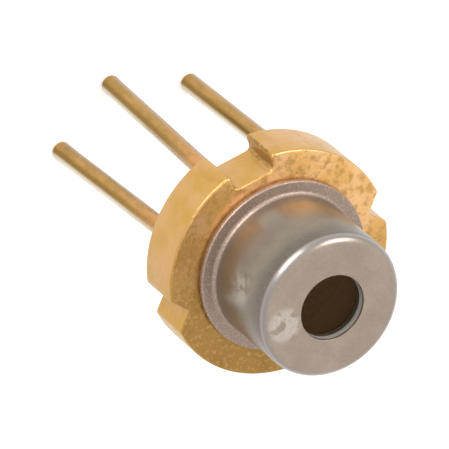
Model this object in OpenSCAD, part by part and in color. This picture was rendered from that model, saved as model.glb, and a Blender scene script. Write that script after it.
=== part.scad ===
// Laser diode in a 5.6 mm can with three leads.
// Millimetres. +Z is the optical axis, out of the window. The origin is the centre of the stem's
// front face, +Y points at the rectangular notch, and the V notches lie on the X axis.

/* [Stem] */
// Diameter of the stem
stem_d = 5.6; // [5.2:0.1:9]
// Thickness of the stem
stem_t = 1.2; // [1:0.05:1.6]
// Radius of the coined edges of the stem
stem_edge_r = 0.07; // [0.02:0.01:0.15]

/* [Rim notches] */
// Width of the rectangular notch
slot_w = 1.05; // [0.6:0.05:1.5]
// Depth of the rectangular notch, from the rim
slot_depth = 0.45; // [0.3:0.05:0.5]
// Radius in the inner corners of the rectangular notch
slot_corner_r = 0.12; // [0.05:0.01:0.2]
// Depth of each V notch, from the rim
vee_depth = 0.37; // [0.2:0.01:0.45]
// Angle between the two walls of a V notch
vee_angle = 100; // [80:1:110]
// Radius at the root of a V notch
vee_root_r = 0.04; // [0.02:0.01:0.1]
// Radius of the corners where a notch opens into the rim
notch_mouth_r = 0.1; // [0.05:0.01:0.13]
// Angle in degrees at which that rounding leaves the rim and the notch's wall
mouth_edge_angle = 15; // [8:1:25]

/* [Leads] */
// Diameter of the circle that the leads stand on
lead_circle_d = 2; // [1.9:0.05:2.3]
// Diameter of a lead
lead_d = 0.45; // [0.3:0.01:0.5]
// Length of the leads behind the stem, measured along Z
lead_l = 6.8; // [6.3:0.1:12]
// Chamfer on the cut end of a lead
lead_chamfer = 0.05; // [0.02:0.01:0.1]
// Height of the laser's lead above the stem's front face
laser_lead_h = 0.95; // [0.8:0.05:1.2]
// Height of the monitor's lead above the stem's front face
monitor_lead_h = 0.4; // [0.2:0.05:0.8]
// Distance from a lead's axis to its coined flat
coin_depth = 0.11; // [0.05:0.01:0.2]
// Length of the coined flat on the laser's lead
coin_l = 0.5; // [0.3:0.05:0.7]

/* [Lead forming] */
// Straight stretch of a lead between the stem and its first bend
form_stub = 0.4; // [0.2:0.05:0.8]
// Radius of the bends, along the axis of the lead
form_r = 1; // [0.8:0.1:1.5]
// Thickness that bending takes off the wire, all round
form_thinning = 0.004; // [0.002:0.001:0.01]
// First bend of the laser's lead, away from the axis
laser_lead_bend = 9; // [0:1:15]
// Distance between the two bends of the laser's lead
laser_lead_run = 1.8; // [0.5:0.1:2]
// Lean of the end of the laser's lead
laser_lead_lean = 2.5; // [-3:0.5:5]
// First bend of the monitor's lead, away from the axis
monitor_lead_bend = 26; // [0:1:30]
// Distance between the two bends of the monitor's lead
monitor_lead_run = 2.05; // [0.5:0.05:2.5]
// Lean of the end of the monitor's lead
monitor_lead_lean = -1.5; // [-3:0.5:5]
// Lean of the common lead, towards the monitor's lead
common_lead_lean = 1.2; // [0:0.1:3]

/* [Glass seals] */
// Diameter of the glass bead round a lead
seal_d = 0.9; // [0.7:0.05:1]
// Depth of the bead's surface below each face of the stem, at its rim
seal_recess = 0.03; // [0.01:0.01:0.08]
// Depth of the hollow that the melted glass keeps between rim and lead
meniscus = 0.04; // [0.01:0.01:0.08]

/* [Common lead joint] */
// Leg of the braze fillet round the common lead
braze_leg = 0.2; // [0.08:0.01:0.25]

/* [Cap] */
// Outer diameter of the cap
cap_d = 3.55; // [3.3:0.05:3.7]
// Height of the cap above the stem's front face
cap_h = 2.5; // [2.3:0.05:3.5]
// Wall thickness of the cap's side
cap_wall = 0.15; // [0.1:0.01:0.2]
// Thickness of the cap's top
cap_top_t = 0.15; // [0.1:0.01:0.2]
// Outer radius of the drawn edge round the cap's top
cap_edge_r = 0.26; // [0.15:0.01:0.35]
// Diameter of the window opening
aperture_d = 1.6; // [1:0.05:2]
// Chamfer round the mouth of the window opening
aperture_chamfer = 0.02; // [0.01:0.01:0.05]

/* [Cap flange] */
// Diameter of the weld flange
flange_d = 4.2; // [4:0.05:4.6]
// Thickness of the weld flange
flange_t = 0.14; // [0.1:0.01:0.2]
// Radius of the fillet between the flange and the side of the cap
flange_fillet = 0.1; // [0.05:0.01:0.14]
// Radius of the flange's edges
flange_edge_r = 0.04; // [0.02:0.01:0.05]
// Height of the weld ridge under the flange
ridge_h = 0.05; // [0.02:0.01:0.08]
// Distance from the flange's edge to the middle of the weld ridge
ridge_inset = 0.17; // [0.12:0.01:0.2]
// Width of the weld ridge on the stem
ridge_w = 0.1; // [0.05:0.01:0.12]

/* [Window] */
// Diameter of the window glass
window_d = 2.6; // [2.4:0.05:2.8]
// Thickness of the window glass
window_t = 0.25; // [0.2:0.01:0.3]
// Thickness of the sealing glass between window and cap
frit_t = 0.04; // [0.02:0.01:0.06]
// Width of the ring of sealing glass
frit_w = 0.3; // [0.15:0.01:0.35]

/* [Heat sink] */
// Radius of the heat sink's back, from the optical axis
sink_r = 1.35; // [1.1:0.05:1.45]
// Thickness of the braze under the heat sink
sink_braze_t = 0.03; // [0.02:0.01:0.05]
// Gap between the heat sink and the glass beads
sink_relief = 0.05; // [0.03:0.01:0.1]

/* [Laser] */
// Height of the laser's front facet above the stem's front face
facet_h = 1.27; // [1.2:0.01:1.4]
// Distance that the laser stands out past the submount
facet_overhang = 0.02; // [0.01:0.01:0.05]
// Length of the laser chip, its cavity
laser_l = 0.5; // [0.3:0.05:0.8]
// Width of the laser chip
laser_w = 0.25; // [0.2:0.01:0.3]
// Thickness of the laser chip
laser_t = 0.1; // [0.08:0.01:0.12]
// Width of the metal stripe on the laser chip
stripe_w = 0.12; // [0.1:0.01:0.16]
// Thickness of the metal stripe on the laser chip
stripe_t = 0.015; // [0.01:0.005:0.03]

/* [Submount] */
// Length of the submount, along the optical axis
submount_l = 0.9; // [0.8:0.05:1.1]
// Width of the submount
submount_w = 0.8; // [0.7:0.05:0.85]
// Thickness of the submount, with its pad
submount_t = 0.28; // [0.26:0.01:0.4]
// Thickness of the bonding pad on the submount
pad_t = 0.02; // [0.01:0.01:0.03]
// Bare border round the bonding pad
pad_border = 0.03; // [0.02:0.01:0.05]
// Thickness of the solder behind the submount
submount_solder_t = 0.03; // [0.02:0.01:0.05]

/* [Monitor photodiode] */
// Side of the photodiode chip
photodiode_w = 0.45; // [0.35:0.05:0.5]
// Thickness of the photodiode chip
photodiode_t = 0.12; // [0.1:0.01:0.15]
// Thickness of the epoxy under the photodiode
epoxy_t = 0.02; // [0.01:0.01:0.03]
// Distance from the optical axis to the middle of the photodiode's pocket
pocket_offset = 0.35; // [0.3:0.01:0.45]
// Side of the pocket in the stem
pocket_w = 0.62; // [0.55:0.01:0.65]
// Depth of the pocket at its middle
pocket_depth = 0.12; // [0.08:0.01:0.2]
// Slope of the pocket's floor, which throws stray light aside
pocket_tilt = 8; // [4:1:12]

/* [Bond wires] */
// Diameter of the bond wire
wire_d = 0.03; // [0.02:0.005:0.04]
// Diameter of the foot where a wire is bonded
bond_d = 0.09; // [0.07:0.01:0.1]
// Thickness of the foot where a wire is bonded
bond_t = 0.03; // [0.03:0.005:0.04]
// Rise of the loop from the laser's lead to the submount
laser_lead_loop = 0.2; // [0.15:0.01:0.3]
// Rise of the loop from the laser chip to the heat sink
laser_chip_loop = 0.26; // [0.22:0.01:0.35]
// Rise of the loop from the photodiode to the monitor's lead
monitor_loop = 0.25; // [0.15:0.01:0.4]

/* [Hidden] */
$fn = 96;

// Length by which a cutter runs past the face that it cuts
past = 0.5;

stem_r = stem_d / 2;
cap_r = cap_d / 2;
cap_inner_r = cap_r - cap_wall;
cap_inner_edge_r = cap_edge_r - cap_wall / 2;
ridge_mid = flange_d / 2 - ridge_inset;
lead_r = lead_d / 2;
lead_place = lead_circle_d / 2;
seal_r = seal_d / 2;

ceiling_z = cap_h - cap_top_t;
window_top_z = ceiling_z - frit_t;

submount_top_z = facet_h - facet_overhang;
sink_face_y = submount_t + submount_solder_t;
sink_relief_r = seal_r + sink_relief;
// Half the width of the heat sink's face between the reliefs for the glass beads
sink_face_half_w = lead_place - sqrt(pow(sink_relief_r, 2) - pow(sink_face_y, 2));

gold = [0.86, 0.66, 0.30];
nickel = [0.66, 0.62, 0.57];
copper_gold = [0.88, 0.62, 0.34];
glass_green = [0.30, 0.42, 0.38];
clear_glass = [0.75, 0.82, 0.85, 0.4];
ceramic_white = [0.86, 0.86, 0.82];
solder_grey = [0.72, 0.72, 0.70];

// Profiles

// A rectangle from the axis out to r, between two heights, with round outer corners
module turned_profile(r, low, high, corner_r) {
  translate([0, low + corner_r])
    square([r, high - low - 2 * corner_r]);
  translate([0, low])
    square([r - corner_r, high - low]);
  for (z = [low + corner_r, high - corner_r])
    translate([r - corner_r, z])
      circle(r = corner_r);
}

// The concave corner that a fillet fills, with its square corner at the origin
module fillet_profile(leg) {
  difference() {
    square(leg);
    translate([leg, leg])
      circle(r = leg);
  }
}

// Notches

// How far along a line from foot, in the direction out, the circle of a radius round the axis lies
function reach_of_circle(foot, out, radius) =
  sqrt(pow(foot * out, 2) - foot * foot + pow(radius, 2)) - foot * out;

// The bit that rounds off the corner between the rim and a notch's wall. The wall starts at foot
// and runs out at the angle heading, with the stem's metal on its left.
module mouth_corner(foot, heading) {
  out = [cos(heading), sin(heading)];
  left = [-sin(heading), cos(heading)];
  // The rounding circle stands a little out of the wall and of the rim, so it meets both at an angle
  inset = notch_mouth_r * cos(mouth_edge_angle);
  start = foot + inset * left;
  run = reach_of_circle(start, out, stem_r - inset);
  centre = start + run * out;
  corner = foot + reach_of_circle(foot, out, stem_r) * out;
  lift = 1.01;
  difference() {
    polygon([
      centre,
      centre * lift * stem_r / (stem_r - inset),
      corner * lift,
      foot + run * out - notch_mouth_r * left
    ]);
    translate(centre)
      circle(r = notch_mouth_r);
  }
}

module slot_outline() {
  floor_y = stem_r - slot_depth;
  corner_x = slot_w / 2 - slot_corner_r;
  translate([-slot_w / 2, floor_y + slot_corner_r])
    square([slot_w, slot_depth + past]);
  translate([-corner_x, floor_y])
    square([2 * corner_x, slot_depth]);
  for (side = [-1, 1])
    translate([side * corner_x, floor_y + slot_corner_r])
      circle(r = slot_corner_r);
  for (side = [0, 1])
    mirror([side, 0])
      mouth_corner([-slot_w / 2, 0], 90);
}

module vee_outline() {
  half = vee_angle / 2;
  // The root circle touches both walls, and its own bottom lies at the notch's depth
  root_x = stem_r - vee_depth + vee_root_r;
  point_x = root_x - vee_root_r / sin(half);
  touch = vee_root_r / tan(half);
  reach = vee_depth + past;
  translate([root_x, 0])
    circle(r = vee_root_r);
  polygon([
    [point_x + touch * cos(half), touch * sin(half)],
    [point_x + touch * cos(half), -touch * sin(half)],
    [point_x + reach, -reach * tan(half)],
    [point_x + reach, reach * tan(half)]
  ]);
  for (side = [0, 1])
    mirror([0, side])
      mouth_corner([point_x, 0], half);
}

// Places that several pieces share

module at_sealed_leads(sides = [-1, 1]) {
  for (side = sides)
    translate([side * lead_place, 0, 0])
      children();
}

// Frame on the pocket's floor: origin at its middle, Z square to the slope
module on_pocket_floor() {
  translate([0, -pocket_offset, -pocket_depth])
    rotate([pocket_tilt, 0, 0])
      children();
}

// Stem

module stem() {
  color(gold)
    difference() {
      rotate_extrude()
        turned_profile(stem_r, -stem_t, 0, stem_edge_r);
      translate([0, 0, -stem_t - past])
        linear_extrude(stem_t + 2 * past) {
          slot_outline();
          vee_outline();
          mirror([1, 0]) vee_outline();
        }
      at_sealed_leads()
        translate([0, 0, -stem_t - past])
          cylinder(h = stem_t + 2 * past, r = seal_r);
      on_pocket_floor()
        translate([-pocket_w / 2, -pocket_w / 2, 0])
          cube([pocket_w, pocket_w, pocket_depth + past]);
    }
}

// A glass bead: its rim lies just below the stem's faces, and it hollows towards the lead
module glass_bead() {
  rim_z = seal_recess;
  width = seal_r - lead_r;
  // Circle through the bead's rim, the lead and the lowest point of the hollow
  hollow_r = (pow(width / 2, 2) + pow(meniscus, 2)) / (2 * meniscus);
  mid_r = (seal_r + lead_r) / 2;
  color(glass_green)
    rotate_extrude()
      difference() {
        translate([lead_r, -stem_t + rim_z])
          square([width, stem_t - 2 * rim_z]);
        for (z = [-rim_z + hollow_r - meniscus, -stem_t + rim_z - hollow_r + meniscus])
          translate([mid_r, z])
            circle(r = hollow_r);
      }
}

module laser_lead_seal() {
  at_sealed_leads([-1]) glass_bead();
}

module monitor_lead_seal() {
  at_sealed_leads([1]) glass_bead();
}

// Leads

// A round stretch of lead along -Z, which starts a little before its own origin
module lead_stretch(l, before = 0) {
  translate([0, 0, -l])
    cylinder(h = l + before, r = lead_r);
}

// The last stretch of a lead, with the chamfer of its cut end
module lead_end(l, before = 0) {
  translate([0, 0, -l + lead_chamfer])
    cylinder(h = l - lead_chamfer + before, r = lead_r);
  translate([0, 0, -l])
    cylinder(h = lead_chamfer, r1 = lead_r - lead_chamfer, r2 = lead_r);
}

// How far the straight stretches run into a bend, whose drawn wire is thinner
function bend_lap(angle) = min(
  sqrt(2 * form_r * form_thinning) * 0.7,
  form_r * abs(angle) * PI / 180 / 3
);

// Bends the lead from -Z towards +X by an angle, and goes on with the children from there
module bend(angle) {
  turn = angle < 0 ? 180 : 0;
  size = abs(angle);
  rotate([0, 0, turn]) {
    if (size > 0)
      translate([form_r, 0, 0])
        rotate([90, 0, 0])
          rotate([0, 0, 180])
            rotate_extrude(angle = size)
              translate([form_r, 0])
                circle(r = lead_r - form_thinning);
    translate([form_r * (1 - cos(size)), 0, -form_r * sin(size)])
      rotate([0, -size, 0])
        rotate([0, 0, -turn])
          children();
  }
}

// The part of a formed lead behind the stem: stub, bend, run, second bend and end
module formed_tail(first, run, lean) {
  second = lean - first;
  used = form_stub + form_r * abs(sin(first)) + run * cos(first)
    + form_r * abs(sin(lean) - sin(first));
  translate([0, 0, -stem_t]) {
    lead_stretch(form_stub + bend_lap(first));
    translate([0, 0, -form_stub])
      bend(first) {
        lead_stretch(run + bend_lap(second), bend_lap(first));
        translate([0, 0, -run])
          bend(second)
            lead_end((lead_l - used) / cos(lean), bend_lap(second));
      }
  }
}

// The straight part of a sealed lead, through its bead and up into the cap
module lead_head(h) {
  translate([0, 0, -stem_t])
    cylinder(h = stem_t + h - lead_chamfer, r = lead_r);
  translate([0, 0, h - lead_chamfer])
    cylinder(h = lead_chamfer, r1 = lead_r, r2 = lead_r - lead_chamfer);
}

module laser_lead() {
  color(gold)
    at_sealed_leads([-1]) {
      difference() {
        lead_head(laser_lead_h);
        translate([-lead_d, -coin_depth - lead_d, laser_lead_h - coin_l])
          cube([2 * lead_d, lead_d, coin_l + past]);
      }
      rotate([0, 0, 180])
        formed_tail(laser_lead_bend, laser_lead_run, laser_lead_lean);
    }
}

module monitor_lead() {
  color(gold)
    at_sealed_leads([1]) {
      lead_head(monitor_lead_h);
      formed_tail(monitor_lead_bend, monitor_lead_run, monitor_lead_lean);
    }
}

// The common lead leans from its foot on the stem's back face
module at_common_lead() {
  translate([0, lead_place, -stem_t])
    rotate([0, -common_lead_lean, 0])
      children();
}

// The half-space behind the stem, as far as the common lead's joint needs
module behind_stem() {
  translate([-stem_r, -stem_r, -stem_t - 2 * lead_l])
    cube([stem_d, stem_d, 2 * lead_l]);
}

module common_lead() {
  color(gold)
    intersection() {
      at_common_lead()
        lead_end(lead_l / cos(common_lead_lean), lead_d);
      behind_stem();
    }
}

module common_lead_braze() {
  color(solder_grey)
    difference() {
      translate([0, lead_place, -stem_t])
        mirror([0, 0, 1])
          rotate_extrude() {
            square([lead_r, braze_leg]);
            translate([lead_r, 0])
              fillet_profile(braze_leg);
          }
      at_common_lead()
        lead_stretch(lead_l, lead_d);
    }
}

// Heat sink and laser

module sink_outline() {
  difference() {
    circle(r = sink_r);
    translate([-sink_r - past, -sink_r - past])
      square([2 * (sink_r + past), sink_r + past + sink_face_y]);
    for (side = [-1, 1])
      translate([side * lead_place, 0])
        circle(r = sink_relief_r);
  }
}

module heat_sink_braze() {
  color(solder_grey)
    linear_extrude(sink_braze_t)
      sink_outline();
}

module heat_sink() {
  color(copper_gold)
    translate([0, 0, sink_braze_t])
      linear_extrude(submount_top_z - sink_braze_t)
        sink_outline();
}

module submount_solder() {
  color(solder_grey)
    translate([-submount_w / 2, submount_t, submount_top_z - submount_l])
      cube([submount_w, submount_solder_t, submount_l]);
}

module submount() {
  color(ceramic_white) {
    translate([-submount_w / 2, pad_t, submount_top_z - submount_l])
      cube([submount_w, submount_t - pad_t, submount_l]);
    translate([-submount_w / 2 + pad_border, 0, submount_top_z - submount_l + pad_border])
      cube([submount_w - 2 * pad_border, pad_t, submount_l - 2 * pad_border]);
  }
}

module laser_chip() {
  color("dimgray") {
    translate([-laser_w / 2, -laser_t, facet_h - laser_l])
      cube([laser_w, laser_t, laser_l]);
    translate([-stripe_w / 2, -laser_t - stripe_t, facet_h - laser_l])
      cube([stripe_w, stripe_t, laser_l]);
  }
}

// Monitor photodiode

module photodiode_epoxy() {
  color(solder_grey)
    on_pocket_floor()
      translate([-photodiode_w / 2, -photodiode_w / 2, 0])
        cube([photodiode_w, photodiode_w, epoxy_t]);
}

module monitor_photodiode() {
  color("darkslateblue")
    on_pocket_floor()
      translate([-photodiode_w / 2, -photodiode_w / 2, epoxy_t])
        cube([photodiode_w, photodiode_w, photodiode_t]);
}

// Bond wires

// A foot that stands on the surface under its own origin, along Z
module bond_foot() {
  cylinder(h = bond_t, d = bond_d);
}

// A foot on a surface that faces -Y
module side_foot(place) {
  translate(place)
    rotate([90, 0, 0])
      bond_foot();
}

// A round arc of wire from p to q whose middle rises towards up
module wire_loop(p, q, up, rise) {
  chord = q - p;
  along = chord / norm(chord);
  square_up = up - (up * along) * along;
  rising = square_up / norm(square_up);
  across = cross(along, rising);
  loop_r = (pow(norm(chord) / 2, 2) + pow(rise, 2)) / (2 * rise);
  middle = (p + q) / 2 + rising * (rise - loop_r);
  half = acos((loop_r - rise) / loop_r);
  multmatrix([
    [along.x, rising.x, across.x, middle.x],
    [along.y, rising.y, across.y, middle.y],
    [along.z, rising.z, across.z, middle.z],
    [0, 0, 0, 1]
  ])
    rotate([0, 0, 90 - half])
      rotate_extrude(angle = 2 * half)
        translate([loop_r, 0])
          circle(d = wire_d);
}

module laser_lead_wire() {
  z = laser_lead_h - coin_l / 3;
  lead_foot = [-lead_place, -coin_depth, z];
  pad_foot = [-(laser_w / 2 + submount_w / 2 - pad_border) / 2, 0, z];
  mid_foot = [0, -bond_t / 2, 0];
  color(gold) {
    side_foot(lead_foot);
    side_foot(pad_foot);
    wire_loop(lead_foot + mid_foot, pad_foot + mid_foot, [0, -1, 0], laser_lead_loop);
  }
}

module laser_chip_wire() {
  z = facet_h - laser_l / 2;
  chip_foot = [0, -laser_t - stripe_t, z];
  sink_foot = [(submount_w / 2 + sink_face_half_w) / 2, sink_face_y, z];
  mid_foot = [0, -bond_t / 2, 0];
  color(gold) {
    side_foot(chip_foot);
    side_foot(sink_foot);
    wire_loop(chip_foot + mid_foot, sink_foot + mid_foot, [0, -1, 0], laser_chip_loop);
  }
}

module monitor_wire() {
  foot_x = photodiode_w / 4;
  foot_z = epoxy_t + photodiode_t;
  lead_foot = [lead_place, 0, monitor_lead_h];
  // The foot on the photodiode, carried from the sloped pocket into the part's own frame
  loop_z = foot_z + bond_t / 2;
  chip_end = [
    foot_x,
    -pocket_offset - loop_z * sin(pocket_tilt),
    -pocket_depth + loop_z * cos(pocket_tilt)
  ];
  color(gold) {
    on_pocket_floor()
      translate([foot_x, 0, foot_z])
        bond_foot();
    translate(lead_foot)
      bond_foot();
    wire_loop(chip_end, lead_foot + [0, 0, bond_t / 2], [0, 0, 1], monitor_loop);
  }
}

// Cap

module cap_profile() {
  difference() {
    union() {
      turned_profile(cap_r, ridge_h, cap_h, cap_edge_r);
      // Square off the round lower corner, which the flange hides
      translate([0, ridge_h])
        square([cap_r, 2 * cap_edge_r]);
      turned_profile(flange_d / 2, ridge_h, ridge_h + flange_t, flange_edge_r);
      translate([cap_r, ridge_h + flange_t])
        fillet_profile(flange_fillet);
      polygon([
        [ridge_mid - ridge_w, ridge_h],
        [ridge_mid - ridge_w / 2, 0],
        [ridge_mid + ridge_w / 2, 0],
        [ridge_mid + ridge_w, ridge_h]
      ]);
    }
    translate([0, -past])
      square([cap_inner_r, ceiling_z - cap_inner_edge_r + past]);
    translate([0, -past])
      square([cap_inner_r - cap_inner_edge_r, ceiling_z + past]);
    translate([cap_inner_r - cap_inner_edge_r, ceiling_z - cap_inner_edge_r])
      circle(r = cap_inner_edge_r);
    square([aperture_d / 2, cap_h + past]);
    translate([0, cap_h])
      polygon([
        [aperture_d / 2 - past, -aperture_chamfer - past],
        [aperture_d / 2 - aperture_chamfer, -2 * aperture_chamfer],
        [aperture_d / 2 + 2 * aperture_chamfer, aperture_chamfer],
        [aperture_d / 2 - past, aperture_chamfer + past]
      ]);
  }
}

module cap() {
  color(nickel)
    rotate_extrude()
      cap_profile();
}

module window_frit() {
  color(glass_green)
    translate([0, 0, window_top_z])
      difference() {
        cylinder(h = frit_t, d = window_d);
        translate([0, 0, -past])
          cylinder(h = frit_t + 2 * past, d = window_d - 2 * frit_w);
      }
}

module cap_window() {
  color(clear_glass)
    translate([0, 0, window_top_z - window_t])
      cylinder(h = window_t, d = window_d);
}

stem();
heat_sink_braze();
heat_sink();
submount_solder();
submount();
laser_chip();
photodiode_epoxy();
monitor_photodiode();
laser_lead_seal();
monitor_lead_seal();
laser_lead();
monitor_lead();
common_lead();
common_lead_braze();
laser_lead_wire();
laser_chip_wire();
monitor_wire();
cap();
window_frit();
cap_window();
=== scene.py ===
import math

import bpy
from mathutils import Matrix, Vector


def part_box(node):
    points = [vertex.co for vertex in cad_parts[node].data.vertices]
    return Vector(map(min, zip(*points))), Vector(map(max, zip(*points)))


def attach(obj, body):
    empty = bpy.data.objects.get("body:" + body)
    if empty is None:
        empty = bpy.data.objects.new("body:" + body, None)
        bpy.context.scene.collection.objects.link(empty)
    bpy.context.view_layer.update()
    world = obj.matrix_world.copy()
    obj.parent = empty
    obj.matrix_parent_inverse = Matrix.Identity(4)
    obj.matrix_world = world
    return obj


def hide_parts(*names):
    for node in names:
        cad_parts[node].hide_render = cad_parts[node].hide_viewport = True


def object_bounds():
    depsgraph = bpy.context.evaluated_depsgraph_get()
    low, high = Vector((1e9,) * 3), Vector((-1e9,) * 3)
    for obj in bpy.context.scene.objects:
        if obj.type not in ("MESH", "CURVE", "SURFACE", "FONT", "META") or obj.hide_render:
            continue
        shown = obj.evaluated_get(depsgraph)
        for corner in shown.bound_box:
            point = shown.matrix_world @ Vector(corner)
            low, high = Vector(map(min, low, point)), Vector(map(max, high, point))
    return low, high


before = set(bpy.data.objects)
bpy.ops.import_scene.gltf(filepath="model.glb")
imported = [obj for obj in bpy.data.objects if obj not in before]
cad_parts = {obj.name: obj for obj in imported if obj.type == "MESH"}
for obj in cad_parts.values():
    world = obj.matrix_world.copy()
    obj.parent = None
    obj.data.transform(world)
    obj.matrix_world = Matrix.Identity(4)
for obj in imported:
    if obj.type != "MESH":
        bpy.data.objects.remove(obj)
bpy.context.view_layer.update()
bpy.ops.object.select_all(action="DESELECT")


# The stem is a cold-headed iron disc with a rectangular notch, two V notches and two bores for the
# glass seals. It is plated with gold all over. Pieces are drawn in millimetres, as a maker would,
# and each is shrunk to metres when it is done.
MM = 0.001
stem_low, stem_high = (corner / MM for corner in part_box("stem"))
rim_r = -stem_low.y
stem_back = stem_low.z
slot_half, slot_floor, slot_corner_r = 0.525, 2.35, 0.12
vee_root, vee_half_angle, vee_root_r = 2.43, math.radians(50), 0.04
slot_mouth, vee_mouth = 0.124, 0.047
rim_edge_r = 0.06
lead_place, bead_r = 1.0, 0.45
pocket_middle, pocket_half, pocket_deep, pocket_tilt = 0.35, 0.31, 0.12, math.radians(8)
rim_steps, bead_steps = 256, 96
overshoot, bore_cutter_l = 0.3, 3


def draw_line(name, points):
    """A new piece in edit mode: one vertex, extruded from point to point."""
    bpy.ops.mesh.primitive_plane_add()
    piece = bpy.context.active_object
    piece.name = piece.data.name = name
    bpy.ops.object.mode_set(mode="EDIT")
    bpy.ops.mesh.select_mode(type="VERT")
    bpy.ops.mesh.select_all(action="SELECT")
    bpy.ops.mesh.merge(type="CENTER")
    bpy.ops.transform.translate(value=points[0])
    for here, there in zip(points, points[1:]):
        step = Vector(there) - Vector(here)
        bpy.ops.mesh.extrude_region_move(TRANSFORM_OT_translate={"value": step})
    return piece


def draw_face(name, points):
    """A new piece in edit mode: one flat face with these corners."""
    piece = draw_line(name, points)
    bpy.ops.mesh.select_all(action="SELECT")
    bpy.ops.mesh.edge_face_add()
    return piece


def pick(piece, kind, wanted):
    """Selects the vertices, edges or faces of a piece in edit mode that pass a test."""
    bpy.ops.mesh.select_mode(type=kind)
    bpy.ops.mesh.select_all(action="DESELECT")
    bpy.ops.object.mode_set(mode="OBJECT")
    mesh = piece.data
    for part in {"VERT": mesh.vertices, "EDGE": mesh.edges, "FACE": mesh.polygons}[kind]:
        part.select = wanted(part)
    bpy.ops.object.mode_set(mode="EDIT")


def round_corner(piece, corner, reach, steps):
    """Rounds one corner of a flat face, from this far before it to this far behind it."""
    pick(piece, "VERT", lambda vertex: (vertex.co - Vector(corner)).length < 1e-3)
    bpy.ops.mesh.bevel(
        offset=reach, segments=steps, profile=0.5, affect="VERTICES", clamp_overlap=False
    )


def raise_face(height):
    """Extrudes the face in edit mode into a closed block, and leaves edit mode."""
    bpy.ops.mesh.select_mode(type="FACE")
    bpy.ops.mesh.select_all(action="SELECT")
    bpy.ops.mesh.extrude_region_move(TRANSFORM_OT_translate={"value": (0, 0, height)})
    bpy.ops.mesh.select_all(action="SELECT")
    bpy.ops.mesh.normals_make_consistent(inside=False)
    bpy.ops.object.mode_set(mode="OBJECT")


def cut_away(piece, cutter):
    """Cuts the cutter's shape out of a piece, and deletes the cutter."""
    bpy.context.view_layer.objects.active = piece
    cut = piece.modifiers.new("cut", "BOOLEAN")
    cut.operation = "DIFFERENCE"
    cut.solver = "EXACT"
    cut.object = cutter
    bpy.ops.object.modifier_apply(modifier=cut.name)
    bpy.data.objects.remove(cutter)


def complete(piece, finish, cad_node, smooth_angle=35):
    """Smooths a piece's rounded faces, shrinks it to metres and puts it in its CAD node's place."""
    bpy.ops.object.mode_set(mode="EDIT")
    bpy.ops.mesh.select_all(action="SELECT")
    bpy.ops.mesh.remove_doubles(threshold=1e-4)
    bpy.ops.mesh.normals_make_consistent(inside=False)
    bpy.ops.object.mode_set(mode="OBJECT")
    bpy.ops.object.select_all(action="DESELECT")
    piece.select_set(True)
    bpy.context.view_layer.objects.active = piece
    piece.scale = (MM, MM, MM)
    bpy.ops.object.transform_apply(location=True, rotation=True, scale=True)
    bpy.ops.object.shade_smooth_by_angle(angle=math.radians(smooth_angle))
    weigh = piece.modifiers.new("even", "WEIGHTED_NORMAL")
    weigh.keep_sharp = True
    bpy.ops.object.modifier_apply(modifier=weigh.name)
    piece.data.materials.clear()
    piece.data.materials.append(finish)
    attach(piece, "root")
    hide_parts(cad_node)
    piece.select_set(False)


def mouth_points(corner, reach, turn):
    """The rest of a cutter's edge from a notch's outer corner: along the rim's chord, then out."""
    chord_run, outward_run = 0.5, 0.9
    rim_step = turn * 2 * math.asin(reach / 2 / rim_r)
    along = (Matrix.Rotation(rim_step, 3, "Z") @ corner - corner).normalized()
    flare = corner + chord_run * along
    return flare, flare + outward_run * corner.normalized()


bpy.ops.mesh.primitive_cylinder_add(
    vertices=rim_steps,
    radius=rim_r,
    depth=-stem_back,
    location=(0, 0, stem_back / 2),
)
stem = bpy.context.active_object
stem.name = stem.data.name = "gold_stem"
bpy.ops.object.transform_apply(location=True)

cut_low, cut_height = stem_back - overshoot, -stem_back + 2 * overshoot
slot_corner = Vector((slot_half, math.sqrt(rim_r**2 - slot_half**2), cut_low))
flare, outside = mouth_points(slot_corner, slot_mouth, -1)
right_side = [Vector((slot_half, slot_floor, cut_low)), slot_corner, flare, outside]
left_side = [Vector((-point.x, point.y, point.z)) for point in reversed(right_side)]
slot_cutter = draw_face("slot_cutter", right_side + left_side)
for side in (-1, 1):
    round_corner(slot_cutter, (side * slot_half, slot_floor, cut_low), slot_corner_r, steps=8)
    outer_corner = (side * slot_corner.x, slot_corner.y, cut_low)
    round_corner(slot_cutter, outer_corner, slot_mouth, steps=8)
raise_face(cut_height)
cut_away(stem, slot_cutter)

vee_point = vee_root + vee_root_r - vee_root_r / math.sin(vee_half_angle)
along_wall = -vee_point * math.cos(vee_half_angle) + math.sqrt(
    rim_r**2 - (vee_point * math.sin(vee_half_angle)) ** 2
)
vee_corner = Vector((
    vee_point + along_wall * math.cos(vee_half_angle),
    along_wall * math.sin(vee_half_angle),
    cut_low,
))
flare, outside = mouth_points(vee_corner, vee_mouth, 1)
for side in (-1, 1):
    upper = [Vector((side * p.x, p.y, p.z)) for p in (vee_corner, flare, outside)]
    lower = [Vector((p.x, -p.y, p.z)) for p in reversed(upper)]
    apex = Vector((side * vee_point, 0, cut_low))
    vee_cutter = draw_face("vee_cutter", [apex] + upper + lower)
    round_corner(vee_cutter, apex, vee_root_r / math.tan(vee_half_angle), steps=6)
    for corner in (upper[0], lower[-1]):
        round_corner(vee_cutter, corner, vee_mouth, steps=6)
    raise_face(cut_height)
    cut_away(stem, vee_cutter)

bpy.ops.object.mode_set(mode="EDIT")
vertices = stem.data.vertices
pick(
    stem,
    "EDGE",
    lambda edge: abs(vertices[edge.vertices[0]].co.z - vertices[edge.vertices[1]].co.z) < 1e-4,
)
bpy.ops.mesh.bevel(
    offset=rim_edge_r, segments=5, profile=0.5, affect="EDGES", clamp_overlap=False
)
bpy.ops.object.mode_set(mode="OBJECT")

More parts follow.
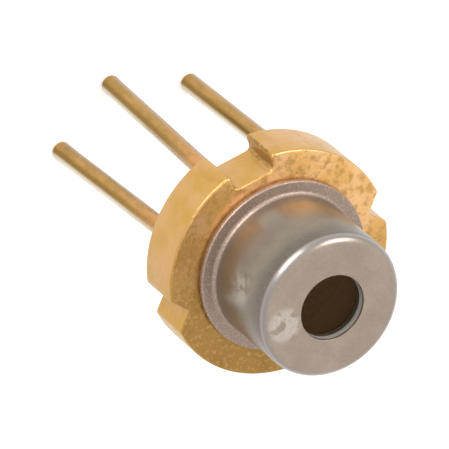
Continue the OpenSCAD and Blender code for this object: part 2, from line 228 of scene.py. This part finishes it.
for side in (-1, 1):
    bpy.ops.mesh.primitive_cylinder_add(
        vertices=bead_steps,
        radius=bead_r,
        depth=bore_cutter_l,
        location=(side * lead_place, 0, stem_back / 2),
    )
    cut_away(stem, bpy.context.active_object)
bpy.ops.mesh.primitive_cube_add(
    size=2 * pocket_half,
    location=(0, -pocket_middle, -pocket_deep),
    rotation=(pocket_tilt, 0, 0),
)
pocket = bpy.context.active_object
bpy.ops.object.mode_set(mode="EDIT")
lift = pocket.matrix_world.to_3x3() @ Vector((0, 0, pocket_half))
bpy.ops.transform.translate(value=lift)
bpy.ops.object.mode_set(mode="OBJECT")
cut_away(stem, pocket)


def new_finish(name):
    """A material, its node tree, its shader, and the piece's own coordinates in metres."""
    material = bpy.data.materials.new(name)
    material.use_nodes = True
    tree = material.node_tree
    place = tree.nodes.new("ShaderNodeTexCoord").outputs["Object"]
    return material, tree, tree.nodes["Principled BSDF"], place


def between(tree, value, start, end):
    """0 where a value is at start or beyond, 1 where it is at end or beyond."""
    spread = tree.nodes.new("ShaderNodeMapRange")
    spread.interpolation_type = "SMOOTHSTEP"
    spread.inputs["From Min"].default_value = min(start, end)
    spread.inputs["From Max"].default_value = max(start, end)
    spread.inputs["To Min"].default_value = 0 if start < end else 1
    spread.inputs["To Max"].default_value = 1 if start < end else 0
    tree.links.new(value, spread.inputs["Value"])
    return spread.outputs["Result"]


def patches(tree, place, size, low, high, detail=4.0, shift=(0, 0, 0), stretch=(1, 1, 1)):
    """Cloudy patches of a size in millimetres: 0 where the cloud is under low, 1 over high."""
    shifted = tree.nodes.new("ShaderNodeMapping")
    shifted.inputs["Location"].default_value = [MM * s for s in shift]
    shifted.inputs["Scale"].default_value = stretch
    cloud = tree.nodes.new("ShaderNodeTexNoise")
    cloud.inputs["Scale"].default_value = 1 / (size * MM)
    cloud.inputs["Detail"].default_value = detail
    tree.links.new(place, shifted.inputs["Vector"])
    tree.links.new(shifted.outputs["Vector"], cloud.inputs["Vector"])
    return between(tree, cloud.outputs["Fac"], low, high)


def tint(tree, amount, under, over):
    """One colour over another, by an amount. Either may be a colour or another tint."""
    mix = tree.nodes.new("ShaderNodeMix")
    mix.data_type = "RGBA"
    tree.links.new(amount, mix.inputs["Factor"])
    for socket, colour in ((mix.inputs[6], under), (mix.inputs[7], over)):
        if isinstance(colour, tuple):
            socket.default_value = (*colour, 1)
        else:
            tree.links.new(colour, socket)
    return mix.outputs[2]


def spread_values(tree, amount, low, high):
    """Numbers between low and high, by an amount from 0 to 1."""
    spread = tree.nodes.new("ShaderNodeMapRange")
    spread.inputs["To Min"].default_value = low
    spread.inputs["To Max"].default_value = high
    tree.links.new(amount, spread.inputs["Value"])
    return spread.outputs["Result"]


def stain(tree, colour, where, strength, over):
    """Lays a share of a second colour over the first, where a mask is 1."""
    return tint(tree, spread_values(tree, where, 0, strength), colour, over)


def relief(tree, shader, *layers):
    """Bumps of the surface, each layer an amount and its height in millimetres."""
    normal = None
    for amount, height in layers:
        bump = tree.nodes.new("ShaderNodeBump")
        bump.inputs["Distance"].default_value = height * MM
        tree.links.new(amount, bump.inputs["Height"])
        if normal:
            tree.links.new(normal, bump.inputs["Normal"])
        normal = bump.outputs["Normal"]
    tree.links.new(normal, shader.inputs["Normal"])


def facing(tree, towards, start, end):
    """0 to 1 by how the surface faces a direction, between the cosines start and end."""
    normal = tree.nodes.new("ShaderNodeTexCoord").outputs["Normal"]
    along = tree.nodes.new("ShaderNodeVectorMath")
    along.operation = "DOT_PRODUCT"
    along.inputs[1].default_value = towards
    tree.links.new(normal, along.inputs[0])
    return between(tree, along.outputs["Value"], start, end)


def both(tree, one, other):
    """The product of two amounts."""
    product = tree.nodes.new("ShaderNodeMath")
    product.operation = "MULTIPLY"
    tree.links.new(one, product.inputs[0])
    tree.links.new(other, product.inputs[1])
    return product.outputs["Value"]


def across(tree, place, axis, start, end):
    """0 at one place along an axis and beyond, 1 at another and beyond, in millimetres."""
    parts = tree.nodes.new("ShaderNodeSeparateXYZ")
    tree.links.new(place, parts.inputs["Vector"])
    return between(tree, parts.outputs[axis], start * MM, end * MM)


def near(tree, place, middle, inner, outer):
    """1 up to the inner distance from a point, 0 beyond the outer one, in millimetres."""
    away = tree.nodes.new("ShaderNodeVectorMath")
    away.operation = "DISTANCE"
    away.inputs[1].default_value = [MM * m for m in middle]
    tree.links.new(place, away.inputs[0])
    return between(tree, away.outputs["Value"], outer * MM, inner * MM)


def from_axis(tree, place, start, end):
    """0 at one distance from the optical axis and beyond, 1 at another, in millimetres."""
    level = tree.nodes.new("ShaderNodeVectorMath")
    level.operation = "MULTIPLY"
    level.inputs[1].default_value = (1, 1, 0)
    length = tree.nodes.new("ShaderNodeVectorMath")
    length.operation = "LENGTH"
    tree.links.new(place, level.inputs[0])
    tree.links.new(level.outputs["Vector"], length.inputs[0])
    return between(tree, length.outputs["Value"], start * MM, end * MM)


optical_axis = (0, 0, 1)
stem_gold, tree, shader, place = new_finish("stem_gold")
broad = patches(tree, place, 0.9, 0.40, 0.62, 3)
small = patches(tree, place, 0.16, 0.45, 0.66, 5, (3, 1, 2))
speckle = patches(tree, place, 0.07, 0.48, 0.70, 5, (7, 5, 1))
side_colour = tint(tree, broad, (0.44, 0.25, 0.05), (0.49, 0.28, 0.10))
side_colour = stain(tree, side_colour, small, 0.3, (0.54, 0.28, 0.08))
# Painted light: the face is painted pale in a wide pool on the rectangular notch's side, and tan
# beyond it.
painted_light_pool = near(tree, place, (1.4, 1.9, 0), 1.8, 4.8)
pale = tint(tree, broad, (0.98, 0.58, 0.26), (0.86, 0.48, 0.15))
tan = tint(tree, broad, (0.42, 0.23, 0.055), (0.38, 0.20, 0.045))
face_colour = tint(tree, painted_light_pool, tan, pale)
face_colour = stain(tree, face_colour, small, 0.6, (0.45, 0.24, 0.05))
# Painted highlights: small pale specks on the face stand in for glints.
painted_glints = patches(tree, place, 0.10, 0.48, 0.72, 5, (9, 2, 6))
face_colour = stain(tree, face_colour, painted_glints, 0.45, (0.80, 0.47, 0.18))
stained = both(tree, speckle, patches(tree, place, 0.45, 0.44, 0.66, 3, (1, 6, 4)))
face_colour = stain(tree, face_colour, stained, 0.45, (0.40, 0.21, 0.045))
# Painted shade: the walls inside the rectangular notch are painted darker.
in_slot = near(tree, place, (0, 2.9, -0.6), 0.95, 1.0)
in_slot = both(tree, in_slot, facing(tree, (0, 1, 0), 0.99, 0.9))
shaded_slot_walls = both(tree, in_slot, across(tree, place, "Z", -0.03, -0.1))
side_colour = stain(tree, side_colour, shaded_slot_walls, 0.6, (0.36, 0.17, 0.03))
# Painted shade: one rounded mouth corner of the rectangular notch is painted dark brown.
shaded_slot_mouth = facing(tree, (-0.7, 0.7, 0), 0.70, 0.95)
shaded_slot_mouth = both(tree, shaded_slot_mouth, near(tree, place, (0.6, 2.72, -0.6), 0.3, 0.7))
shaded_slot_mouth = both(tree, shaded_slot_mouth, patches(tree, place, 0.12, 0.40, 0.55, 4))
side_colour = stain(tree, side_colour, shaded_slot_mouth, 0.85, (0.20, 0.11, 0.02))
upward = facing(tree, optical_axis, 0.5, 0.95)
tree.links.new(tint(tree, upward, side_colour, face_colour), shader.inputs["Base Color"])
tree.links.new(spread_values(tree, small, 0.30, 0.40), shader.inputs["Roughness"])
shader.inputs["Metallic"].default_value = 0.65
relief(tree, shader, (broad, 0.006), (small, 0.004), (speckle, 0.002))
complete(stem, stem_gold, "stem")


# The leads are nickel-iron wire, gold plated and formed with pliers. Two pass through the glass
# seals into the cap, and their tails are bent apart; the third is brazed to the stem's back.
lead_r, lead_chamfer, lead_steps = 0.225, 0.05, 48
form_stub, form_r, tail_l = 0.4, 1.0, 6.8


def start_lead(name, x, y, top):
    """A lead's round upper end, chamfered, in edit mode with its lower end open to be drawn on."""
    bpy.ops.mesh.primitive_circle_add(
        vertices=lead_steps,
        radius=lead_r - lead_chamfer,
        fill_type="NGON",
        location=(x, y, top),
    )
    lead = bpy.context.active_object
    lead.name = lead.data.name = name
    bpy.ops.object.transform_apply(location=True)
    bpy.ops.object.mode_set(mode="EDIT")
    widen = lead_r / (lead_r - lead_chamfer)
    bpy.ops.mesh.extrude_region_move(TRANSFORM_OT_translate={"value": (0, 0, -lead_chamfer)})
    bpy.ops.transform.resize(value=(widen, widen, 1), center_override=(x, y, top))
    return lead


def end_lead(end, reach):
    """Draws a lead on to the chamfer of its cut end."""
    chamfer = lead_chamfer * reach.normalized()
    bpy.ops.mesh.extrude_region_move(TRANSFORM_OT_translate={"value": reach - chamfer})
    bpy.ops.mesh.extrude_region_move(TRANSFORM_OT_translate={"value": chamfer})
    narrow = (lead_r - lead_chamfer) / lead_r
    bpy.ops.transform.resize(value=(narrow,) * 3, center_override=end + reach)
    bpy.ops.object.mode_set(mode="OBJECT")


def form_tail(side, top, first, run, lean):
    """Draws a sealed lead down from its upper end: bent outwards by the first angle, straight for
    a run, then bent back to its last lean."""
    end = Vector((side * lead_place, 0, stem_back - form_stub))
    bpy.ops.mesh.extrude_region_move(
        TRANSFORM_OT_translate={"value": end - Vector((side * lead_place, 0, top - lead_chamfer))}
    )
    heading = 0
    for turn, straight in ((first, run), (lean - first, None)):
        turn = math.radians(turn)
        sideways = Vector((math.cos(heading), 0, math.sin(heading))) * math.copysign(form_r, turn)
        sideways.x *= side
        middle = end + sideways
        bpy.ops.mesh.spin(
            steps=max(4, round(abs(math.degrees(turn)))),
            angle=side * turn,
            center=middle,
            axis=(0, 1, 0),
        )
        end = middle - Matrix.Rotation(-side * turn, 3, "Y") @ sideways
        heading += turn
        ahead = Vector((side * math.sin(heading), 0, -math.cos(heading)))
        if straight:
            bpy.ops.mesh.extrude_region_move(TRANSFORM_OT_translate={"value": straight * ahead})
            end += straight * ahead
    end_lead(end, ahead * (stem_back - tail_l - end.z) / ahead.z)


lead_gold, tree, shader, place = new_finish("lead_gold")
near_stem = across(tree, place, "Z", -5.5, -2.2)
streaks = patches(tree, place, 0.25, 0.40, 0.64, 4, (5, 2, 0), (1, 1, 0.35))
stains = patches(tree, place, 0.12, 0.50, 0.66, 4, (1, 8, 3), (1, 1, 0.6))
warm = tint(tree, streaks, (0.58, 0.28, 0.11), (0.70, 0.34, 0.14))
olive = tint(tree, streaks, (0.38, 0.225, 0.07), (0.45, 0.265, 0.085))
colour = tint(tree, near_stem, olive, warm)
colour = stain(tree, colour, stains, 0.45, (0.30, 0.18, 0.05))
# Painted reflection: the leads are painted dark along their -X side, darkest far from the stem.
streak_side = (-0.896, -0.443, 0)
painted_dark_streak = both(tree, facing(tree, streak_side, -0.15, 0.35), spread_values(tree, near_stem, 0.85, 0.15))
colour = tint(tree, painted_dark_streak, colour, (0.22, 0.125, 0.025))
# The leads turn greyer along their side that faces +X.
grey_side = (0.896, 0.443, 0)
greyer_side = facing(tree, grey_side, 0.55, 0.95)
colour = stain(tree, colour, greyer_side, 0.7, (0.36, 0.27, 0.20))
# Painted reflection: a whitish band right on that side, brightest far from the stem.
painted_white_reflection = facing(tree, streak_side, 0.50, 0.85)
painted_white_reflection = both(tree, painted_white_reflection, spread_values(tree, near_stem, 0.9, 0.25))
colour = tint(tree, painted_white_reflection, colour, (0.70, 0.64, 0.50))
tree.links.new(colour, shader.inputs["Base Color"])
tree.links.new(spread_values(tree, streaks, 0.24, 0.36), shader.inputs["Roughness"])
shader.inputs["Metallic"].default_value = 1.0
relief(tree, shader, (streaks, 0.003), (stains, 0.001))

laser_lead_top, monitor_lead_top = 0.95, 0.4
coin_flat, coin_cutter = -0.11, (0.9, 0.45, 1)
laser_lead = start_lead("laser_lead_formed", -lead_place, 0, laser_lead_top)
form_tail(-1, laser_lead_top, first=9, run=1.8, lean=2.5)
bpy.ops.mesh.primitive_cube_add(
    size=1,
    location=(-lead_place, coin_flat - coin_cutter[1] / 2, laser_lead_top),
    scale=coin_cutter,
)
coin = bpy.context.active_object
bpy.ops.object.transform_apply(location=True, scale=True)
cut_away(laser_lead, coin)
complete(laser_lead, lead_gold, "laser_lead")

monitor_lead = start_lead("monitor_lead_formed", lead_place, 0, monitor_lead_top)
form_tail(1, monitor_lead_top, first=26, run=2.05, lean=-1.5)
complete(monitor_lead, lead_gold, "monitor_lead")

lean = math.radians(1.2)
bpy.ops.mesh.primitive_circle_add(
    vertices=lead_steps,
    radius=lead_r,
    fill_type="NGON",
    location=(0, lead_place, stem_back),
)
common_lead = bpy.context.active_object
common_lead.name = common_lead.data.name = "common_lead_straight"
bpy.ops.object.transform_apply(location=True)
bpy.ops.object.mode_set(mode="EDIT")
foot = Vector((0, lead_place, stem_back))
end_lead(foot, Vector((math.tan(lean), 0, -1)) * tail_l)
complete(common_lead, lead_gold, "common_lead")

braze_leg, braze_sink = 0.2, 0.02
steps = 10
curve = [
    (
        lead_r + braze_leg * (1 - math.cos(math.pi / 2 * i / steps)),
        0,
        stem_back - braze_leg * (1 - math.sin(math.pi / 2 * i / steps)),
    )
    for i in range(steps + 1)
]
inner = lead_r - braze_sink
root = [(inner, 0, stem_back), (inner, 0, stem_back - braze_leg), curve[0]]


def spin_round(piece, x, y, steps):
    """Turns a closed outline, drawn in edit mode at y 0, into a ring about an upright axis."""
    bpy.ops.mesh.select_all(action="SELECT")
    bpy.ops.mesh.remove_doubles(threshold=1e-4)
    bpy.ops.transform.translate(value=(x, y, 0))
    bpy.ops.mesh.spin(steps=steps, angle=2 * math.pi, center=(x, y, 0), axis=(0, 0, 1))
    bpy.ops.object.mode_set(mode="OBJECT")


braze_metal, tree, shader, place = new_finish("braze_metal")
flow = patches(tree, place, 0.1, 0.35, 0.7, 4)
braze_tints = (0.62, 0.50, 0.26), (0.50, 0.36, 0.15)
tree.links.new(tint(tree, flow, *braze_tints), shader.inputs["Base Color"])
tree.links.new(spread_values(tree, flow, 0.3, 0.5), shader.inputs["Roughness"])
shader.inputs["Metallic"].default_value = 1.0
relief(tree, shader, (flow, 0.004))
braze = draw_line("braze_fillet", curve + root)
spin_round(braze, 0, lead_place, steps=64)
complete(braze, braze_metal, "common_lead_braze")


# The glass seals hold the two inner leads and keep them insulated. Each is a bead of dark glass
# that was melted in its bore, so it draws up the lead and the bore, and hollows between them.
recess, hollow, half_steps = 0.03, 0.04, 5
bead_face = stem_high.z - recess


def bead_hollow(height, up):
    """The hollow face of a bead, from the bore to the lead."""
    half = (bead_r - lead_r) / 2
    radius = (half**2 + hollow**2) / (2 * hollow)
    spread = math.asin(half / radius)
    angles = [spread * (1 - i / half_steps) for i in range(2 * half_steps + 1)]
    return [
        (
            lead_r + half + radius * math.sin(angle),
            0,
            height + up * (radius * (1 - math.cos(angle)) - hollow),
        )
        for angle in angles
    ]


seal_glass, tree, shader, place = new_finish("seal_glass")
cloud = patches(tree, place, 0.12, 0.35, 0.7, 3)
colour = tint(tree, cloud, (0.020, 0.022, 0.018), (0.045, 0.05, 0.04))
tree.links.new(colour, shader.inputs["Base Color"])
tree.links.new(spread_values(tree, cloud, 0.06, 0.16), shader.inputs["Roughness"])
for node, x in (("laser_lead_seal", -lead_place), ("monitor_lead_seal", lead_place)):
    front = bead_hollow(bead_face, 1)
    back = bead_hollow(stem_back + recess, -1)[::-1]
    bead = draw_line(node + "_bead", front + back + front[:1])
    spin_round(bead, x, 0, bead_steps)
    complete(bead, seal_glass, node)


# Inside the cap, a copper block brazed to the stem carries the submount and the laser chip, and
# the monitor photodiode sits in a sloping pocket. They keep their exact CAD shapes.
# Each finish is two colours, how metallic and rough it is, and the size of its clouds.
wire_gold = ((0.95, 0.64, 0.22), (0.85, 0.55, 0.18), 1.0, 0.20, 0.05)
inner_finishes = {
    "heat_sink": ((0.62, 0.36, 0.14), (0.55, 0.30, 0.10), 1.0, 0.25, 0.20),
    "heat_sink_braze": (*braze_tints, 1.0, 0.40, 0.10),
    "submount_solder": ((0.62, 0.52, 0.34), (0.50, 0.40, 0.24), 1.0, 0.40, 0.08),
    "submount": ((0.70, 0.69, 0.64), (0.62, 0.60, 0.55), 0.0, 0.55, 0.10),
    "laser_chip": ((0.12, 0.12, 0.13), (0.20, 0.19, 0.18), 1.0, 0.20, 0.05),
    "photodiode_epoxy": ((0.45, 0.44, 0.42), (0.36, 0.35, 0.33), 0.5, 0.50, 0.05),
    "monitor_photodiode": ((0.03, 0.03, 0.07), (0.05, 0.05, 0.10), 0.0, 0.12, 0.20),
    "window_frit": ((0.30, 0.29, 0.28), (0.42, 0.40, 0.39), 0.0, 0.30, 0.10),
    "laser_lead_wire": wire_gold,
    "laser_chip_wire": wire_gold,
    "monitor_wire": wire_gold,
}
for node, (under, over, metal, roughness, size) in inner_finishes.items():
    finish, tree, shader, place = new_finish(node + "_finish")
    cloud = patches(tree, place, size, 0.35, 0.68, 4)
    tree.links.new(tint(tree, cloud, under, over), shader.inputs["Base Color"])
    shader.inputs["Metallic"].default_value = metal
    tree.links.new(
        spread_values(tree, cloud, roughness * 0.8, roughness * 1.2), shader.inputs["Roughness"]
    )
    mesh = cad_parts[node].data
    mesh.materials.clear()
    mesh.materials.append(finish)


# The cap is deep drawn from nickel-plated nickel-iron sheet. Its flange is welded to the stem on a
# narrow ridge, and a disc of coated glass is sealed under the opening in its top.
cap_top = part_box("cap")[1].z / MM
flange_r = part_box("cap")[1].x / MM
wall_r, wall_t = 1.775, 0.15
flange_low, flange_high = 0.05, 0.19
ridge_foot, ridge_face = (1.83, 2.03), (1.88, 1.98)
opening_r, opening_edge = 0.8, 0.02
edge_r, fillet_r, flange_edge_r = 0.26, 0.1, 0.04
inner_r, ceiling = wall_r - wall_t, cap_top - wall_t
cap_corners = [
    (ridge_face[0], 0, 0),
    (ridge_face[1], 0, 0),
    (ridge_foot[1], 0, flange_low),
    (flange_r, 0, flange_low),
    (flange_r, 0, flange_high),
    (wall_r, 0, flange_high),
    (wall_r, 0, cap_top),
    (opening_r, 0, cap_top),
    (opening_r, 0, ceiling),
    (inner_r, 0, ceiling),
    (inner_r, 0, flange_low),
    (ridge_foot[0], 0, flange_low),
]
cap = draw_face("nickel_cap", cap_corners)
for corner, reach, steps in (
    ((flange_r, 0, flange_low), flange_edge_r, 4),
    ((flange_r, 0, flange_high), flange_edge_r, 5),
    ((wall_r, 0, flange_high), fillet_r, 6),
    ((wall_r, 0, cap_top), edge_r, 12),
    ((opening_r, 0, cap_top), opening_edge, 4),
    ((inner_r, 0, ceiling), edge_r - wall_t / 2, 6),
):
    round_corner(cap, corner, reach, steps)
bpy.ops.mesh.select_mode(type="FACE")
bpy.ops.mesh.select_all(action="SELECT")
bpy.ops.mesh.delete(type="ONLY_FACE")
bpy.ops.mesh.select_mode(type="VERT")
spin_round(cap, 0, 0, steps=192)

cap_nickel, tree, shader, place = new_finish("cap_nickel")
smudge = patches(tree, place, 0.7, 0.30, 0.76, 4, (2, 3, 9))
fine = patches(tree, place, 0.06, 0.35, 0.70, 3, (4, 4, 4))
# Painted reflection: the lower wall is painted warmer and lighter, for the gold stem mirrored in
# it.
gold_reflection_low = across(tree, place, "Z", 1.5, 0.3)
# Painted light and shade: the wall is painted darker than the top face, as shaded and lit copies of
# the same nickel.
shaded_wall_colour = tint(tree, smudge, (0.18, 0.15, 0.115), (0.245, 0.205, 0.16))
shaded_wall_colour = stain(tree, shaded_wall_colour, gold_reflection_low, 0.6, (0.36, 0.29, 0.22))
# A lighter cloud on the wall, on its -X side, partway up.
lighter_wall_cloud = near(tree, place, (-1.56, 0.84, 1.32), 0.1, 0.6)
lighter_wall_cloud = both(tree, lighter_wall_cloud, patches(tree, place, 0.2, 0.35, 0.6, 4))
shaded_wall_colour = stain(tree, shaded_wall_colour, lighter_wall_cloud, 0.8, (0.38, 0.35, 0.30))
# Painted reflection: a dark band round the wall just under the shoulder.
painted_dark_neck = across(tree, place, "Z", 1.6, 2.2)
shaded_wall_colour = stain(tree, shaded_wall_colour, painted_dark_neck, 0.8, (0.115, 0.10, 0.08))
lit_top_colour = tint(tree, smudge, (0.41, 0.33, 0.265), (0.48, 0.39, 0.32))
# A lighter patch on the top face, towards -X.
lighter_top_patch = near(tree, place, (-1.22, 0.20, 2.5), 0.3, 0.5)
lighter_top_patch = both(tree, lighter_top_patch, patches(tree, place, 0.35, 0.42, 0.50, 4, (2, 2, 2)))
lit_top_colour = stain(tree, lit_top_colour, lighter_top_patch, 0.9, (0.66, 0.57, 0.50))
# Painted sheen: the rounded shoulder is painted a lighter, neutral grey, which also whitens the
# lamp's highlight there.
shoulder_sheen = facing(tree, optical_axis, 0.1, 0.5)
colour = tint(tree, shoulder_sheen, shaded_wall_colour, (0.33, 0.30, 0.28))
colour = tint(tree, facing(tree, optical_axis, 0.6, 0.97), colour, lit_top_colour)
# Painted shade: a dark line where the wall meets the shoulder, on the side facing +X and -Y.
far_side = (0.443, -0.896, 0)
painted_dark_edge = facing(tree, far_side, 0.45, 0.85)
painted_dark_edge = both(tree, painted_dark_edge, across(tree, place, "Z", 2.2, 2.3))
colour = stain(tree, colour, painted_dark_edge, 0.85, (0.06, 0.055, 0.05))
grain = patches(tree, place, 0.04, 0.50, 0.66, 4)
flange = tint(tree, grain, (0.40, 0.29, 0.23), (0.54, 0.43, 0.36))
colour = tint(tree, across(tree, place, "Z", 0.32, 0.24), colour, flange)
colour = stain(tree, colour, fine, 0.22, (0.26, 0.22, 0.19))
opening_wall = from_axis(tree, place, 0.815, 0.800)
opening_wall = both(tree, opening_wall, across(tree, place, "Z", 2.30, 2.34))
lip = across(tree, place, "Z", 2.40, 2.46)
wall_shade = tint(tree, lip, (0.38, 0.34, 0.31), (0.12, 0.085, 0.055))
colour = tint(tree, opening_wall, colour, wall_shade)
tree.links.new(colour, shader.inputs["Base Color"])
polished = across(tree, place, "Z", 0.25, 0.5)
tree.links.new(spread_values(tree, polished, 0.46, 0.29), shader.inputs["Roughness"])
tree.links.new(spread_values(tree, opening_wall, 0.9, 0.2), shader.inputs["Metallic"])
relief(tree, shader, (smudge, 0.0012), (fine, 0.0006))
complete(cap, cap_nickel, "cap")

window_low, window_high = (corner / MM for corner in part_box("cap_window"))
window_steps, inwards = 128, (0, 0, -1)
bpy.ops.mesh.primitive_cylinder_add(
    vertices=window_steps,
    radius=window_high.x,
    depth=window_high.z - window_low.z,
    location=(0, 0, (window_high.z + window_low.z) / 2),
)
window = bpy.context.active_object
window.name = window.data.name = "window_glass"
bpy.ops.object.transform_apply(location=True)
window_glass, tree, shader, place = new_finish("window_glass")
sheen = patches(tree, place, 0.5, 0.35, 0.70, 3)
sealed = from_axis(tree, place, 0.79, 0.80)
inside = both(tree, from_axis(tree, place, 0.80, 0.79), facing(tree, inwards, 0.2, 0.8))
glass = tint(tree, sheen, (0.95, 0.92, 0.88), (0.90, 0.88, 0.84))
glass = tint(tree, inside, glass, (0.10, 0.065, 0.025))
# Painted light: the sealing ring is painted lighter underneath, where little light reaches it, and
# darker on its top face.
seal_lit_below = tint(tree, facing(tree, inwards, 0.2, 0.8), (0.42, 0.40, 0.39), (0.80, 0.79, 0.80))
tree.links.new(tint(tree, sealed, glass, seal_lit_below), shader.inputs["Base Color"])
tree.links.new(spread_values(tree, sheen, 0.02, 0.06), shader.inputs["Roughness"])
tree.links.new(spread_values(tree, sealed, 1, 0), shader.inputs["Transmission Weight"])
shader.inputs["Specular Tint"].default_value = (0.80, 0.42, 0.13, 1)
shader.inputs["IOR"].default_value = 1.5
complete(window, window_glass, "cap_window")


# The diode stands over a plain white table, under two wide soft lamps in a white room. The table
# gives off a little light of its own, so that it stays white under the diode.
table_size = 0.6
floor_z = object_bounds()[0].z
bpy.ops.mesh.primitive_plane_add(size=table_size, location=(0, 0, floor_z))
table = bpy.context.active_object
table.name = table.data.name = "studio_table"
table_white, tree, shader, place = new_finish("table_white")
cloud = patches(tree, place, 20, 0.3, 0.7, 2)
colour = tint(tree, cloud, (0.86, 0.86, 0.86), (0.87, 0.87, 0.87))
tree.links.new(colour, shader.inputs["Base Color"])
shader.inputs["Roughness"].default_value = 0.9
shader.inputs["Emission Color"].default_value = (1, 1, 1, 1)
shader.inputs["Emission Strength"].default_value = 0.28
table.data.materials.append(table_white)

world = bpy.data.worlds.new("studio")
bpy.context.scene.world = world
world.use_nodes = True
world.node_tree.nodes["Background"].inputs["Color"].default_value = (1, 1, 1, 1)
world.node_tree.nodes["Background"].inputs["Strength"].default_value = 0.9


def soft_lamp(name, towards, distance, size, brightness):
    """A square lamp that shines on the diode from a direction. Brightness is its own radiance."""
    direction = Vector(towards).normalized()
    lamp = bpy.data.lights.new(name, "AREA")
    lamp.shape = "SQUARE"
    lamp.size = size
    lamp.energy = brightness * math.pi * size**2
    holder = bpy.data.objects.new(name, lamp)
    bpy.context.collection.objects.link(holder)
    holder.location = direction * distance
    holder.rotation_mode = "QUATERNION"
    holder.rotation_quaternion = direction.to_track_quat("Z", "Y")


soft_lamp("key", towards=(-0.30, 0.90, 0.26), distance=0.25, size=0.15, brightness=5.6)
soft_lamp("fill", towards=(0.64, 0.40, 0.66), distance=0.25, size=0.11, brightness=5.0)


# The camera looks down on the window side from beyond the rectangular notch, turned on its side.
# Its lens is long, so the view is close to a drawing's parallel one.
azimuth, elevation, roll = (math.radians(angle) for angle in (206.30, 51.354, -130.71))
aim = Vector((-0.670, 0.982, -0.941)) * MM
distance = 299.79 * MM
back = Vector((
    math.sin(azimuth) * math.cos(elevation),
    -math.cos(azimuth) * math.cos(elevation),
    math.sin(elevation),
))
level_up = (Vector((0, 0, 1)) - back.z * back).normalized()
level_right = level_up.cross(back)
up = level_up * math.cos(roll) + level_right * math.sin(roll)
right = up.cross(back)
camera = bpy.data.objects.new("camera", bpy.data.cameras.new("camera"))
bpy.context.collection.objects.link(camera)
turned = Matrix((right, up, back)).transposed().to_4x4()
camera.matrix_world = Matrix.Translation(aim + distance * back) @ turned
camera.data.sensor_width = 36
camera.data.lens = 1060.8
camera.data.clip_start, camera.data.clip_end = 0.01, 10
bpy.context.scene.camera = camera
bpy.context.scene.view_settings.view_transform = "Standard"
